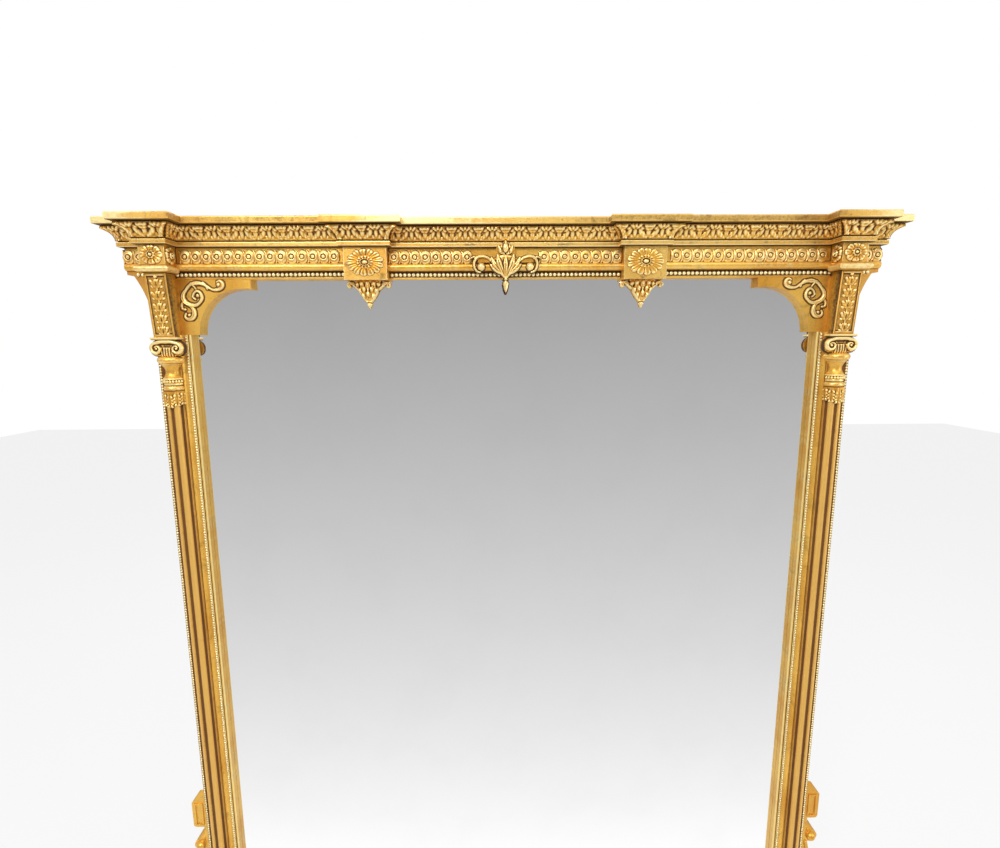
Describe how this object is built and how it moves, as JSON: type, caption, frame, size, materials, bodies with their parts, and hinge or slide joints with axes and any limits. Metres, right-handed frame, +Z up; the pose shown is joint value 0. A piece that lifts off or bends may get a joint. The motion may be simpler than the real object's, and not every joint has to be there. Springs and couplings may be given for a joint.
{
  "type": "overmantel mirror",
  "caption": "Gilt architectural overmantel mirror with reeded side columns, Ionic capitals, leaf-carved cornice, coin-moulded frieze and bead borders",
  "frame": {"origin": "middle of the underside of the base board, on the mantel shelf", "axes": "+X to the right as seen from the front, +Y from the front into the wall, +Z up"},
  "size_m": [1.718, 0.123, 1.885],
  "materials": {
    "gilt": "burnished and worn water gilding on gesso over carved wood",
    "matt_gilt": "matt oil gilding, slightly brown",
    "glass": "silvered plate glass",
    "pine": "bare planed pine",
    "old_pine": "bare pine darkened by age",
    "screws": "dull steel",
    "plates": "dull brass"
  },
  "bodies": {
    "root": {"base_board": "gilt", "left_stile": "matt_gilt", "right_stile": "matt_gilt", "top_rail": "pine", "bottom_rail": "gilt", "mirror_glass": "glass", "glass_blocks": "pine", "back_boards": "old_pine", "back_board_screws": "screws", "hanger_plates": "plates", "hanger_screws": "screws", "left_sight_moulding": "gilt", "right_sight_moulding": "gilt", "top_sight_moulding": "gilt", "bottom_sight_moulding": "gilt", "left_inner_beads": "gilt", "right_inner_beads": "gilt", "left_outer_beads": "gilt", "right_outer_beads": "gilt", "top_beads": "gilt", "bottom_beads": "gilt", "left_shaft": "matt_gilt", "right_shaft": "matt_gilt", "left_plinth": "gilt", "right_plinth": "gilt", "left_column_base": "gilt", "right_column_base": "gilt", "left_leaf_cup": "gilt", "right_leaf_cup": "gilt", "left_neck_turning": "gilt", "right_neck_turning": "gilt", "left_capital": "gilt", "right_capital": "gilt", "left_console": "gilt", "right_console": "gilt", "left_console_husks": "gilt", "right_console_husks": "gilt", "left_wing": "matt_gilt", "right_wing": "matt_gilt", "left_corner_block": "gilt", "right_corner_block": "gilt", "corner_rosettes": "gilt", "frieze_board": "gilt", "frieze_torus": "gilt", "coin_band": "gilt", "cornice_fillet": "gilt", "cornice_cove": "gilt", "cornice_leaves": "gilt", "cornice_board": "gilt", "left_rosette_block": "gilt", "right_rosette_block": "gilt", "oval_rosettes": "gilt", "pendants": "gilt", "centre_palmette": "gilt", "centre_scrolls": "gilt", "spandrels": "gilt", "spandrel_scrolls": "gilt", "left_side_bracket": "gilt", "right_side_bracket": "gilt"}
  },
  "joints": []
}
